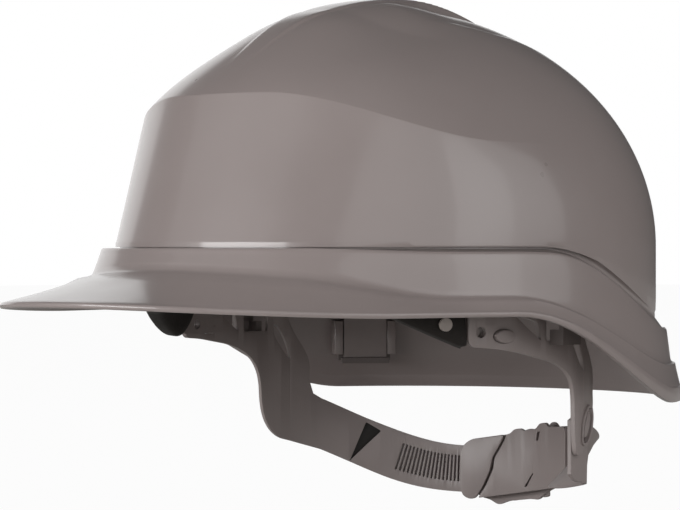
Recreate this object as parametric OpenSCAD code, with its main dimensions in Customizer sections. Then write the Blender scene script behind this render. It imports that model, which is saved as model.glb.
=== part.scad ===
// Safety helmet: moulded shell, crown cradle, headband and nape strap with its buckle.
// Millimetres, +Z up, the wearer looks along -Y and has the left hand at +X.
// The origin is the centre of the head seat, level with the side rim of the shell.

/* [Shell] */
// Half width of the dome at the rain gutter
dome_half_w = 95.5; // [91:0.5:102]
// Reach of the dome in front of the origin, at the gutter
dome_front = 107.5; // [102:0.5:113]
// Reach of the dome behind the origin, at the gutter
dome_rear = 105; // [100:1:112]
// Height of the gutter over the side rim
gutter_z = 25; // [22:0.5:28]
// Height of the dome over the gutter
dome_h = 90; // [84:1:98]
// Wall of the shell
wall = 2.4; // [1.8:0.1:3]
// Step from the dome out to the band below the gutter
gutter_step = 4.2; // [3.4:0.1:5.5]
// Reach of the peak in front of the origin
peak_reach = 164; // [152:1:174]
// Half width of the outline that the peak is cut to
peak_half_w = 99.5; // [94:0.5:103]
// Height of the peak's edge over the side rim
peak_lift = 3.4; // [1:0.1:6]
// Drop of the rear rim below the side rim
rear_drop = 34; // [24:1:40]
// Width of the turned-out edge at the sides
brim_w = 4.5; // [3:0.1:6]
// Height of the central crest over the dome
crest_h = 4.4; // [2:0.1:6]
// Height of the brow's edge over the plain dome
brow_h = 6.2; // [3:0.2:7]

/* [Headgear] */
// Half width of the headband, outside
band_half_w = 83; // [79:1:85]
// Reach of the headband in front of the origin
band_front = 98; // [94:1:102]
// Thickness of the moulded bands
band_t = 1.8; // [1.4:0.1:2.4]
// Width of the arm that carries the nape strap
arm_w = 21; // [18:1:24]
// Height of the nape strap
nape_h = 19; // [16:0.5:20]
// Drop of the buckle's middle below the side rim
nape_drop = 62.5; // [58:0.5:66]
// Thickness of the sweatband
pad_t = 3.2; // [2:0.1:4.5]
// Width of a crown strap
strap_w = 18; // [14:1:22]
// Gap between the crown straps and the shell
crown_gap = 26; // [20:1:32]
// Radius of the chin strap hole in each plate
hole_r = 2; // [1.5:0.1:2.5]
// Number of slots in the ladder
ladder_n = 17; // [10:1:20]
// Distance from one ladder slot to the next
ladder_pitch = 1.58; // [1.4:0.02:1.7]

/* [Buckle] */
// Width of the buckle along the strap
buckle_w = 56; // [52:1:60]
// Height of the buckle's inner plate
buckle_h = 24; // [23.5:0.5:26]
// Wall of the buckle
buckle_wall = 1.6; // [1.2:0.1:2]

/* [Fits] */
// Gap between parts that slide on each other
fit = 0.4; // [0.3:0.05:0.6]
// Gap round a soft part
soft_fit = 0.3; // [0.2:0.05:0.5]

/* [Hidden] */

// Squareness of the plan outlines
dome_n = 2.15;
peak_n = 2.35;
band_front_n = 2.2;
band_rear = band_half_w;

// Steps round the shell and up the dome
round_n = 112;
inner_n = 13;

function clamp01(t) = max(0, min(1, t));
function ease(t) = let (c = clamp01(t)) c * c * (3 - 2 * c);
function fade(t, from, to) = ease((t - from) / (to - from));

// Radius of a superellipse with its own front and rear reach, at plan angle a
function plan_r(a, half_w, front, rear, n) =
    let (reach = sin(a) < 0 ? front : rear)
    1 / pow(pow(abs(cos(a)) / half_w, n) + pow(abs(sin(a)) / reach, n), 1 / n);

// How far the angle a lies towards the rear, -90 at the front and 90 at the rear
function rearward(a) = asin(sin(a));

function in_front(a) = 1 - fade(rearward(a), -62, -34);
function at_rear(a) = fade(rearward(a), -20, 34);

function dome_r(a) = plan_r(a, dome_half_w, dome_front, dome_rear, dome_n);
function gutter_low(a) = gutter_z - 0.6 - 26 * fade(rearward(a), -10, 42);
function ledge_drop(a) = 1.4 + 3.4 * at_rear(a);
function band_top_r(a) = dome_r(a) + gutter_step + 1.5 * in_front(a);
function band_lean(a) = 1.4 + 1.2 * in_front(a);
function band_low_r(a) = band_top_r(a) + band_lean(a);
function rim_z(a) = peak_lift * (1 - fade(rearward(a), -88, -44)) - rear_drop * at_rear(a);
function root_z(a) = rim_z(a) + 6.6 + 5.4 * in_front(a) + 4 * at_rear(a);
function peak_r(a) =
    sin(a) < 0 ? plan_r(a, peak_half_w, peak_reach, peak_reach, peak_n) : 0;
function side_rim_r(a) = band_low_r(a) + brim_w;
function brim_r(a) =
    let (side = side_rim_r(a), peak = peak_r(a), blend = 3, gap = peak - side)
    side + (gap + sqrt(gap * gap + blend * blend)) / 2;
function lip_h(a) = 2.2 + 3.6 * at_rear(a);

// Brow: a soft edge along the top of the front and side panels, fading to the rear
function brow_share(a) = 1 - fade(rearward(a), -70, -5);
function brow_tilt(a) = 35.5 - 11.5 * fade(rearward(a), -75, -20);
function brow(tilt, a) =
    let (
        above = tilt - brow_tilt(a),
        far = above > 0 ? above / 11 : -above / 22,
        ridge = max(0, 1 - sqrt(far * far + 0.004)),
        dip = sin(clamp01((tilt - 46) / 44) * 180)
    )
    brow_share(a) * (brow_h * ridge - 1.2 * dip);

// Central crest, and the channel on each side of it that opens towards the rear
function crest_half_w(y) = 3.5 + 7 * fade(y, -104, 10) + 3 * fade(y, 10, 70);
function channel_edge(y) = 36 * (1 - exp(-max(0, y + 70) / 45));
function crown(x, y, z) =
    let (
        crest = 1 - fade(abs(x), crest_half_w(y), crest_half_w(y) + 5),
        channel = 1 - fade(abs(x), channel_edge(y), channel_edge(y) + 5),
        high = fade(z, gutter_z + 42, gutter_z + 54),
        ahead = 1 - fade(y, 0, 72),
        arch = 1 + 0.35 * exp(-pow((y + 50) / 30, 2))
    )
    high * ahead * (crest_h * arch * crest - 1.6 * channel * (1 - crest));

// A point of the dome, inset from the outside, tilt 90 at the top and 0 at the gutter
function dome_point(a, tilt, inset) =
    let (
        out = brow(tilt, a),
        r = (dome_r(a) - inset + out) * cos(tilt),
        z = gutter_z + (dome_h - inset + out) * sin(tilt),
        x = r * cos(a),
        y = r * sin(a),
        lift = crown(x, y, z)
    )
    [x + lift * cos(tilt) * cos(a), y + lift * cos(tilt) * sin(a), z + lift * sin(tilt)];

function ring_point(a, r, z) = [r * cos(a), r * sin(a), z];

// Plan angles, closer together where the crest runs down the front and the back
crowd = 0.55;
function angles() =
    [for (i = [0 : round_n - 1]) let (u = 360 * i / round_n) -90 + u - crowd * sin(2 * u) * 90 / PI];

// Heights of the outer rows, closer together over the crown
function tilts() = concat([for (t = [88 : -2.2 : 58]) t], [for (t = [54 : -4 : 2]) t], [0]);

function brim_slope_z(a, part) =
    let (top = root_z(a), low = rim_z(a) + lip_h(a))
    top + (low - top) * pow(part, 0.8);

function shell_rows() = concat(
    [for (t = tilts()) [for (a = angles()) dome_point(a, t, 0)]],
    [[for (a = angles()) ring_point(a, dome_r(a), gutter_low(a))]],
    [[for (a = angles()) ring_point(a, band_top_r(a), gutter_low(a) - ledge_drop(a))]],
    [[for (a = angles()) ring_point(a, band_low_r(a), root_z(a))]],
    [for (part = [0.3, 0.65])
        [for (a = angles())
            ring_point(a, band_low_r(a) + part * (brim_r(a) - band_low_r(a)), brim_slope_z(a, part))]],
    [[for (a = angles()) ring_point(a, brim_r(a), rim_z(a) + lip_h(a))]],
    [[for (a = angles()) ring_point(a, brim_r(a) + 0.3, rim_z(a))]],
    [[for (a = angles()) ring_point(a, brim_r(a) - wall, rim_z(a))]],
    [[for (a = angles()) ring_point(a, brim_r(a) - wall - 0.6, rim_z(a) + lip_h(a) - 1.2)]],
    [[for (a = angles())
        ring_point(a, max(band_low_r(a) - wall, dome_r(a)) + 0.8, root_z(a) - wall)]],
    [[for (a = angles()) ring_point(a, band_low_r(a) - wall, root_z(a))]],
    [[for (a = angles())
        ring_point(a, band_top_r(a) - wall, gutter_low(a) - ledge_drop(a) - wall * 0.7)]],
    [[for (a = angles()) ring_point(a, dome_r(a) - wall, gutter_low(a) - wall * 0.7)]],
    [for (i = [0 : inner_n - 1])
        [for (a = angles()) dome_point(a, 90 * i / inner_n, wall)]]
);

module shell_skin() {
    rows = shell_rows();
    rings = len(rows);
    top = [dome_point(0, 90, 0)];
    under = [dome_point(0, 90, wall)];
    points = concat(top, [for (row = rows) for (p = row) p], under);
    last = 1 + rings * round_n;
    polyhedron(
        points = points,
        faces = concat(
            [for (i = [0 : round_n - 1]) [0, 1 + (i + 1) % round_n, 1 + i]],
            [for (r = [0 : rings - 2]) for (i = [0 : round_n - 1])
                let (j = (i + 1) % round_n, a = 1 + r * round_n, b = a + round_n)
                [a + i, a + j, b + j, b + i]],
            [for (i = [0 : round_n - 1])
                let (a = 1 + (rings - 1) * round_n)
                [a + i, a + (i + 1) % round_n, last]]
        ),
        convexity = 6
    );
}

// Places of the six clip sockets: plan angle and height of the socket's foot
front_clip_a = -52;
side_clip_a = 3;
rear_clip_a = 38.5;
front_socket_z = 6;
side_socket_z = 1;
side_socket_h = 10;
rear_socket_z = -20.2;
socket_w = 26;
socket_h = 14;
socket_deep = 7;
socket_wall = 1.6;
tongue_t = 2;
tongue_w = socket_w - 2 * socket_wall - 2 * fit;

function wall_in_r(a) = band_top_r(a) - wall;

// Direction that the wall faces at plan angle a
function wall_turn(a) =
    let (p = wall_in_r(a - 1) * [cos(a - 1), sin(a - 1)], q = wall_in_r(a + 1) * [cos(a + 1), sin(a + 1)])
    atan2(q.y - p.y, q.x - p.x) - 90;

module at_socket(a, side, z) {
    r = wall_in_r(a);
    mirror([side < 0 ? 1 : 0, 0, 0])
        translate([r * cos(a), r * sin(a), z])
            rotate([0, 0, wall_turn(a)])
                children();
}

// Pocket on the shell's inner wall, open below, with a slit in its face for the strap
module socket(h) {
    reach = socket_deep + 0.9;
    difference() {
        translate([-socket_deep, -socket_w / 2, 0])
            cube([reach, socket_w, h]);
        translate([-socket_deep + socket_wall, -socket_w / 2 + socket_wall, -1])
            cube([tongue_t + 2 * fit, socket_w - 2 * socket_wall, h - socket_wall + 1]);
        translate([-socket_deep - 1, -strap_w / 2 - fit, -1])
            cube([socket_wall + 2, strap_w + 2 * fit, h + 2]);
    }
}

module shell() {
    color("dimgray")
    union() {
        shell_skin();
        for (side = [1, -1]) {
            at_socket(front_clip_a, side, front_socket_z) socket(socket_h);
            at_socket(side_clip_a, side, side_socket_z) socket(side_socket_h);
            at_socket(rear_clip_a, side, rear_socket_z) socket(socket_h);
        }
    }
}

// Tongue of a clip, in its socket, with a foot bar and a snap bump
clip_foot_h = 2.4;
module clip(h) {
    color("gray")
    union() {
        translate([-socket_deep + socket_wall + fit, -tongue_w / 2, -clip_foot_h])
            cube([tongue_t, tongue_w, h - socket_wall + clip_foot_h - fit]);
        translate([-socket_deep - 1, -tongue_w / 2 + 1, -clip_foot_h - 1.2])
            cube([socket_wall + tongue_t + 1, tongue_w - 2, 2.2]);
    }
}

// Side clips reach in with a fork that the headband's plate rides on
fork_y = [-0.5, 6.2];
fork_w = 3;
fork_low_z = -11;
fork_high_z = -5.5;
riser_t = 2;
module side_clip(side) {
    foot_z = side_socket_z - clip_foot_h - 1.2;
    reach = wall_in_r(side_clip_a) - socket_deep - 0.6;
    color("gray")
    mirror([side < 0 ? 1 : 0, 0, 0])
        union() {
            at_socket(side_clip_a, 1, side_socket_z) clip(side_socket_h);
            translate([reach - riser_t, fork_y[0], fork_low_z])
                cube([riser_t, fork_y[1] + fork_w - fork_y[0], foot_z + 2.2 - fork_low_z]);
            difference() {
                for (y = fork_y)
                    translate([0, y, fork_low_z])
                        cube([reach - riser_t / 2, fork_w, fork_high_z - fork_low_z]);
                translate([0, 0, fork_low_z - 1])
                    linear_extrude(fork_high_z - fork_low_z + 2)
                        band_outline(-soft_fit);
            }
        }
}

module clip_front_left() { at_socket(front_clip_a, 1, front_socket_z) clip(socket_h); }
module clip_front_right() { at_socket(front_clip_a, -1, front_socket_z) clip(socket_h); }
module clip_side_left() { side_clip(1); }
module clip_side_right() { side_clip(-1); }
module clip_rear_left() { at_socket(rear_clip_a, 1, rear_socket_z) clip(socket_h); }
module clip_rear_right() { at_socket(rear_clip_a, -1, rear_socket_z) clip(socket_h); }

// Crown cradle: six moulded straps that meet at the crown and rise from the clips
crown_top_z = gutter_z + dome_h - wall - crown_gap;
hub_r = 22;
hub_t = 3.6;
pad_r = 18;
strap_t = 1.6;
strap_steps = 14;
foot_drop = 1.2;
leg_end_r = 8;

// One strap: up through the socket's slit, then an elliptic arc in to the crown
module crown_leg(a, side, foot_z) {
    reach = wall_in_r(a) - socket_deep + strap_t;
    last_t = acos(leg_end_r / reach);
    rise = crown_top_z - foot_z - socket_h;
    arc = [for (i = [0 : strap_steps])
        let (t = last_t * i / strap_steps)
        [reach * (cos(t) - 1), socket_h + rise * sin(t)]];
    inner_arc = [for (i = [strap_steps : -1 : 0])
        let (t = last_t * i / strap_steps)
        [(reach - strap_t) * cos(t) - reach, socket_h + (rise - strap_t) * sin(t)]];
    at_socket(a, side, foot_z)
        rotate([90, 0, 0])
            translate([strap_t - socket_deep, 0, -strap_w / 2])
                linear_extrude(strap_w)
                    polygon(concat(arc, inner_arc, [[-strap_t, -foot_drop], [0, -foot_drop]]));
}

module crown_cradle() {
    color("gray")
    union() {
        for (side = [1, -1]) {
            crown_leg(front_clip_a, side, front_socket_z);
            crown_leg(side_clip_a, side, side_socket_z);
            crown_leg(rear_clip_a, side, rear_socket_z);
        }
        translate([0, 0, crown_top_z - hub_t])
            cylinder(h = hub_t, r = hub_r, $fn = 72);
    }
}

// Soft round pad under the crown
module crown_pad() {
    color("black")
    translate([0, 0, crown_top_z - hub_t - soft_fit - pad_t])
        cylinder(h = pad_t, r = pad_r, $fn = 72);
}

// Headgear ring: the outline of the band, as a tube that each piece is cut from
ring_steps = 48;
function band_n(y) = y < 0 ? band_front_n : 2;
function band_r(a, inset) =
    plan_r(a, band_half_w - inset, band_front - inset, band_rear - inset, band_n(sin(a)));
function band_x(y) =
    let (reach = y < 0 ? band_front : band_rear, n = band_n(y))
    band_half_w * pow(max(0, 1 - pow(abs(y) / reach, n)), 1 / n);

// The rear half is a true circle, so that the buckle can slide round it
module band_outline(inset) {
    polygon([for (i = [0 : ring_steps])
        let (a = 180 + 180 * i / ring_steps)
        [band_r(a, inset) * cos(a), band_r(a, inset) * sin(a)]]);
    intersection() {
        circle(r = band_rear - inset, $fn = 144);
        translate([-2 * band_rear, 0])
            square([4 * band_rear, 2 * band_rear]);
    }
}

module band_tube(low, high, inset, t) {
    translate([0, 0, low])
        linear_extrude(high - low)
            difference() {
                band_outline(inset);
                band_outline(inset + t);
            }
}

// Solid that runs through one side of the ring, from an outline of [y, z] points
module side_block(points) {
    translate([band_half_w / 2, 0, 0])
        rotate([90, 0, 90])
            linear_extrude(band_half_w)
                polygon(points);
}

// The same, through both sides
module through_block(points) {
    rotate([90, 0, 90])
        translate([0, 0, -band_half_w - 2])
            linear_extrude(2 * band_half_w + 4)
                polygon(points);
}

// Arc round a corner, as points, for the outlines of the plates and arms
function corner(cx, cy, r, from, to, n = 6) =
    [for (i = [0 : n]) let (t = from + (to - from) * i / n) [cx + r * cos(t), cy + r * sin(t)]];

// Middle line of the nape strap: a straight climb to the left through the buckle
nape_mid_z = -nape_drop;
buckle_mid_x = -4.5;
nape_climb = 0.148;
nape_low_x = -30;
nape_arm_rise = 20;
nape_left_rise = 4;

// Side view of a plate and its arm, as [y, z]
plate_front_y = -38;
plate_low_z = -11.5;
plate_top_z = 14;
arm_front_y = 10;
arm_rear_y = arm_front_y + arm_w;
arm_low_z = -53;
plate_front_points = [
    [plate_front_y, plate_top_z], [plate_front_y, plate_low_z + 3], [plate_front_y + 2, plate_low_z + 0.4],
    [plate_front_y + 4, plate_low_z], [plate_front_y + 12, plate_low_z - 0.5],
    [plate_front_y + 21, plate_low_z - 1.9], [arm_front_y - 15.5, plate_low_z - 4.6],
    [arm_front_y - 9, plate_low_z - 6.7], [arm_front_y - 5, plate_low_z - 8.8],
    [arm_front_y - 2, plate_low_z - 11.8], [arm_front_y - 0.4, plate_low_z - 16],
];
plate_rear_points = [
    [arm_rear_y, -24], [arm_rear_y - 3, -17.5], [arm_rear_y - 8, -10.5],
    [arm_rear_y - 12, 0], [arm_rear_y - 14, plate_top_z],
];
// The left arm narrows to a round tip
tip_r = 4;
left_arm_points = concat(
    [[arm_front_y + 1.4, -30], [arm_front_y + 2.8, arm_low_z + 10]],
    corner(arm_front_y + 3.6 + tip_r, arm_low_z + tip_r, tip_r, 180, 270),
    [[arm_front_y + 12, arm_low_z + 1.6], [arm_rear_y - 3.6, arm_low_z + 9]],
    [[arm_rear_y - 1.2, arm_low_z + 18]]
);
// The right arm turns into the nape strap
right_arm_points = [
    [arm_front_y, -36], [arm_front_y + 0.8, -43], [arm_front_y + 2.4, -48.5], [arm_front_y + 5.4, -52],
    [arm_front_y + 9, -54], [arm_rear_y + 1, -57], [arm_rear_y + 1, -37],
];

// Places on a plate, along the side as y, with their height as z
hole_y = -33;
hole_z = -6;
peg_y = -20.5;
peg_z = -7.2;
peg_w = 9;
peg_h = 5;
hook_y = arm_front_y + 12;
hook_z = arm_low_z + 14;
hook_w = 5;
hook_h = 11;

function band_turn(y) =
    let (step = 0.5)
    atan2(2 * step, band_x(y + step) - band_x(y - step)) - 90;

// Puts a child, drawn along +X, on the left side of the band
module on_band(y, z) {
    translate([band_x(y), y, z])
        rotate([0, 0, band_turn(y)])
            children();
}

module strap_hole() {
    on_band(hole_y, hole_z)
        rotate([0, 90, 0])
            translate([0, 0, -4 * band_t])
                cylinder(h = 8 * band_t, r = hole_r, $fn = 48);
}

module plate_cuts() {
    strap_hole();
    on_band(peg_y, peg_z)
        translate([-1.5 * band_t, -peg_w / 2 - fit, -peg_h / 2 - fit])
            cube([4 * band_t, peg_w + 2 * fit, peg_h + 2 * fit]);
    side_block([[-18.5, 0], [-7, -2.4], [-4.6, -9.6], [-10, -6]]);
    side_block([
        [fork_y[0] - 1.5, fork_low_z + 1.4], [fork_y[1] + fork_w + 1.5, fork_low_z + 1.4],
        [fork_y[1] + fork_w + 1.5, -2], [fork_y[0] - 1.5, -2],
    ]);
    side_block([
        [13.4, -6], [16, -8], [18.4, -12], [20.6, -17], [22, -22], [16.8, -16], [13.8, -11.4],
    ]);
}

module side_plate_left() {
    color("gray")
    difference() {
        intersection() {
            band_tube(arm_low_z - 1, plate_top_z + 1, 0, band_t);
            side_block(concat(plate_front_points, left_arm_points, plate_rear_points));
        }
        plate_cuts();
        on_band(hook_y, hook_z)
            translate([-1.5 * band_t, -hook_w / 2 - fit, -hook_h / 2 - fit])
                cube([4 * band_t, hook_w + 2 * fit, hook_h + 2 * fit]);
    }
}

// Height of that line, across the back
function nape_z(x) =
    nape_mid_z + nape_climb * (max(x, nape_low_x) - buckle_mid_x)
    + nape_arm_rise * pow(clamp01((nape_low_x - x) / 47), 2.4)
    + nape_left_rise * pow(clamp01((x - 30) / 50), 2);

function nape_side(from_x, to_x, h, n = 16) = concat(
    [for (i = [0 : n]) let (x = from_x + (to_x - from_x) * i / n) [x, nape_z(x) + h / 2]],
    [for (i = [n : -1 : 0]) let (x = from_x + (to_x - from_x) * i / n) [x, nape_z(x) - h / 2]]
);

// Part of the ring between two places across the back, no further forward than front_y
module nape_piece(inset, from_x, to_x, h, front_y) {
    intersection() {
        band_tube(nape_mid_z - h / 2 - 8, -20, inset, band_t);
        rotate([90, 0, 0])
            translate([0, 0, -band_rear - 4])
                linear_extrude(band_rear + 4 - front_y)
                    polygon(nape_side(from_x, to_x, h));
    }
}

// Puts a child on the nape strap, drawn along +X, at a plan angle on the ring
module on_nape(a) {
    r = band_r(a, 0);
    x = r * cos(a);
    slope = atan((nape_z(x + 1) - nape_z(x - 1)) / 2);
    translate([x, r * sin(a), nape_z(x)])
        rotate([0, 0, a])
            rotate([-slope * sin(a), 0, 0])
                children();
}

ladder_first_a = 132;
ladder_floor = 0.5;
ladder_slot_h = 11;
ladder_slot_w = 0.85;
ladder_step_a = ladder_pitch / band_rear * 180 / PI;
ladder_end_x = 24;

module side_plate_right() {
    color("gray")
    difference() {
        union() {
            mirror([1, 0, 0])
                intersection() {
                    band_tube(arm_low_z - 5, plate_top_z + 1, 0, band_t);
                    side_block(concat(plate_front_points, right_arm_points, plate_rear_points));
                }
            nape_piece(0, -band_half_w - 1, ladder_end_x, nape_h, arm_rear_y);
        }
        mirror([1, 0, 0]) plate_cuts();
        for (i = [0 : ladder_n - 1])
            on_nape(ladder_first_a - i * ladder_step_a)
                translate([-3 * band_t, -ladder_slot_w / 2, -ladder_slot_h / 2])
                    cube([3 * band_t - ladder_floor, ladder_slot_w, ladder_slot_h]);
        on_nape(ladder_first_a + 11.5)
            rotate([90, 0, 90])
                translate([0, 0, -3 * band_t])
                    linear_extrude(3 * band_t - ladder_floor)
                        polygon([[-4, 5], [2.5, 5.6], [4, -6.5]]);
    }
}

// Left half of the strap, inside the arm, with a pointed end that hides behind it
module nape_strap_left() {
    color("gray")
    nape_piece(band_t + fit, -18, band_half_w + 4, nape_h, arm_front_y + 4);
}

// Button of the left strap, pressed out through the slot in the arm
module nape_hook_left() {
    color("gray")
    on_band(hook_y, hook_z)
        translate([-band_t - fit, -hook_w / 2, -hook_h / 2])
            cube([band_t + fit + 1.2, hook_w, hook_h]);
}

// Forehead band, lapped inside both plates and rising over the brow
forehead_low_z = 11;
forehead_high_z = 34;
lap = 22;
band_2_inset = band_t + fit;
module forehead_band() {
    brow_y = plate_front_y + lap;
    color("gray")
    difference() {
        intersection() {
            band_tube(plate_low_z, forehead_high_z + 1, band_2_inset, band_t);
            through_block([
                [-band_front - 2, forehead_low_z], [-78, forehead_low_z], [-64, 3],
                [-52, -4], [plate_front_y - 3, -9.5], [brow_y, -9.5], [brow_y, plate_top_z],
                [-66, forehead_high_z - 6], [-band_front - 2, forehead_high_z],
            ]);
        }
        strap_hole();
        mirror([1, 0, 0]) strap_hole();
    }
}

// Sweatband: soft layers inside and outside the forehead band, joined below it
pad_outer_t = 1.5;
module sweatband() {
    end_y = plate_front_y + 5;
    inner_inset = band_2_inset + band_t + soft_fit;
    rise_points = [
        [-band_front - 2, forehead_high_z + 1], [-band_front - 2, forehead_low_z - 5],
        [-78, forehead_low_z - 5], [-66, -2], [-57, -7],
    ];
    color("black")
    union() {
        intersection() {
            band_tube(plate_low_z - 2, forehead_high_z + 2, inner_inset, pad_t);
            through_block(concat(rise_points, [
                [plate_front_y - 6, plate_low_z - 0.5], [plate_front_y, plate_low_z - 0.5],
                [end_y, -4], [end_y + 2, plate_top_z - 3], [-66, forehead_high_z - 4],
            ]));
        }
        intersection() {
            band_tube(plate_low_z - 2, forehead_high_z + 2, 0.2, pad_outer_t);
            through_block(concat(rise_points, [
                [plate_front_y - 6, plate_low_z - 0.5],
                [plate_front_y - soft_fit, plate_low_z - 0.5],
                [plate_front_y - soft_fit, plate_top_z], [-66, forehead_high_z - 4],
            ]));
        }
        intersection() {
            band_tube(plate_low_z - 2, forehead_high_z, 0.2, inner_inset + pad_t - 0.2);
            difference() {
                through_block(concat(rise_points, [
                    [plate_front_y - 6, plate_low_z - 0.5],
                    [plate_front_y - soft_fit, plate_low_z - 0.5],
                    [plate_front_y - soft_fit, plate_low_z + 0.6],
                    [-52, -5.9], [-64, 1.4], [-78, forehead_low_z - 1.6],
                    [-band_front - 2, forehead_low_z - 1.6],
                ]));
            }
        }
    }
}

// Stud that pins the sweatband to the forehead band, just ahead of the plate
stud_y = -47;
stud_z = -3;
stud_r = 2.4;
module sweatband_stud() {
    color("silver")
    on_band(stud_y, stud_z)
        rotate([0, 90, 0])
            translate([0, 0, 0])
                cylinder(h = 1.2, r = stud_r, $fn = 40);
}
module sweatband_stud_left() { sweatband_stud(); }
module sweatband_stud_right() { mirror([1, 0, 0]) sweatband_stud(); }

// Peg of the forehead band through the plate's slot
peg_head = 1.4;
module hanger_peg() {
    color("gray")
    on_band(peg_y, peg_z)
        union() {
            translate([-band_t - fit, -peg_w / 2, -peg_h / 2])
                cube([band_t + fit + 0.6, peg_w, peg_h]);
            translate([0.4, -peg_w / 2 + 1, -peg_h / 2 - 0.6])
                cube([peg_head, peg_w - 1, peg_h + 1.2]);
        }
}
module hanger_peg_left() { hanger_peg(); }
module hanger_peg_right() { mirror([1, 0, 0]) hanger_peg(); }

// Buckle: outer frame with grip ridges, inner plate, loop and a sprung catch
buckle_left_x = buckle_mid_x - buckle_w / 2;
buckle_right_x = buckle_mid_x + buckle_w / 2;
straps_t = 2 * band_t + fit;
frame_inset = -fit - buckle_wall;
plate_inset = straps_t + fit;

module back_block(points) {
    rotate([90, 0, 0])
        translate([0, 0, -band_rear - 20])
            linear_extrude(band_rear)
                polygon(points);
}

// Points of an outline in the buckle: x from its middle, z from the strap's middle line
function climb(points) =
    [for (p = points) [buckle_mid_x + p.x, nape_mid_z + nape_climb * p.x + p.y]];
module buckle_block(points) { back_block(climb(points)); }
module buckle_tube(inset, t) { band_tube(nape_mid_z - 26, nape_mid_z + 24, inset, t); }

half_w = buckle_w / 2;
half_h = buckle_h / 2;
grip_drop = 3.8;
module buckle_frame() {
    rim_t = straps_t + 2 * fit + 2 * buckle_wall;
    color("gray")
    union() {
        intersection() {
            buckle_tube(frame_inset, buckle_wall);
            buckle_block([
                [-half_w, -half_h + 3], [-half_w + 4, -half_h], [-half_w + 10, -half_h - 1.2],
                [-half_w + 14, -half_h - grip_drop], [8, -half_h - grip_drop], [14, -half_h],
                [half_w, -half_h + 3], [half_w, half_h - 1], [18, half_h], [16, half_h + 2.6],
                [12, half_h + 0.6], [5, half_h + 0.4], [2, half_h + 1.4], [-2, half_h + 0.4],
                [-half_w + 4, half_h], [-half_w, half_h - 3],
            ]);
        }
        for (low = [-half_h, half_h - buckle_wall])
            intersection() {
                buckle_tube(frame_inset, rim_t);
                buckle_block([
                    [-half_w + 3, low], [half_w, low],
                    [half_w, low + buckle_wall], [-half_w + 3, low + buckle_wall],
                ]);
            }
        difference() {
            for (x = [-catch_w / 2 - fit - ear_t, catch_w / 2 + fit])
                translate([x, band_rear - 1, catch_z - hinge_r])
                    cube([ear_t, hinge_y + hinge_r - band_rear + 1, 2 * hinge_r]);
            translate([-catch_w, hinge_y, catch_z])
                rotate([0, 90, 0])
                    cylinder(h = 2 * catch_w, r = pin_r, $fn = 36);
            band_tube(catch_z - hinge_r - 1, catch_z + hinge_r + 1, -fit, 4);
        }
        for (i = [0 : 4])
            translate([buckle_mid_x - 13 + 5 * i, band_rear - 0.4,
                       nape_mid_z + nape_climb * (5 * i - 12) - half_h - grip_drop + 0.4])
                cube([2.4, 4.4, 3.2]);
    }
}

// Inner plate: its edge towards the ladder is cut on the slant
slant_low_x = -20;
slant_high_x = -5.5;
slant_gap = 1.2;
plate_h = half_h - buckle_wall - 0.2;
module buckle_plate() {
    color("silver")
    difference() {
        intersection() {
            buckle_tube(plate_inset, buckle_wall);
            buckle_block([
                [slant_low_x, -plate_h], [half_w, -plate_h], [half_w, plate_h], [slant_high_x, plate_h],
            ]);
        }
        buckle_block([[11, plate_h - 4.5], [12.6, plate_h - 4.5], [13.6, plate_h - 1], [12, plate_h - 1]]);
        buckle_block([[4, -plate_h + 2], [5.6, -plate_h + 2], [9.6, -plate_h + 7], [8.8, -plate_h + 7]]);
    }
}

module buckle_loop() {
    color("silver")
    intersection() {
        buckle_tube(plate_inset, buckle_wall);
        buckle_block([
            [-half_w, -plate_h], [slant_low_x - slant_gap, -plate_h],
            [slant_high_x - slant_gap, plate_h], [-half_w + 3, plate_h], [-half_w, plate_h - 3],
        ]);
    }
}

catch_w = 20;
catch_h = 13;
catch_t = 1.6;
hinge_r = 2;
pin_r = 1;
catch_z = nape_mid_z + 6;
hinge_y = band_rear + fit + buckle_wall + hinge_r + fit;
module buckle_catch() {
    color("gray")
    difference() {
        union() {
            translate([-catch_w / 2, hinge_y + 0.2, catch_z - catch_h])
                cube([catch_w, catch_t, catch_h]);
            translate([-catch_w / 2, hinge_y, catch_z])
                rotate([0, 90, 0])
                    cylinder(h = catch_w, r = hinge_r, $fn = 36);
            for (i = [0 : 3])
                translate([-catch_w / 2 + 2, hinge_y + catch_t, catch_z - catch_h + 1 + 2.4 * i])
                    cube([catch_w - 4, 0.9, 1.2]);
        }
        translate([-catch_w, hinge_y, catch_z])
            rotate([0, 90, 0])
                cylinder(h = 2 * catch_w, r = pin_r + 0.05, $fn = 36);
    }
}

// Pin of the catch, with an ear of the frame at each end
ear_t = 2;
module catch_pin() {
    color("silver")
    translate([-catch_w / 2 - fit - ear_t, hinge_y, catch_z])
        rotate([0, 90, 0])
            cylinder(h = catch_w + 2 * fit + 2 * ear_t, r = pin_r, $fn = 36);
}

shell();
crown_cradle();
crown_pad();
clip_front_left();
clip_front_right();
clip_side_left();
clip_side_right();
clip_rear_left();
clip_rear_right();
forehead_band();
sweatband();
side_plate_left();
side_plate_right();
sweatband_stud_left();
sweatband_stud_right();
hanger_peg_left();
hanger_peg_right();
nape_strap_left();
nape_hook_left();
buckle_frame();
buckle_plate();
buckle_loop();
buckle_catch();
catch_pin();
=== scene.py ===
"""Looks of a grey safety helmet: moulded shell, cradle, headband and nape strap with its buckle.

Metres, +Z up. The wearer looks along -Y and has the left hand at +X.
"""

import logging
import math
from dataclasses import dataclass
from enum import Enum
from typing import ClassVar, Optional, Sequence

import bmesh
import bpy
from mathutils import Matrix, Vector


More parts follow.
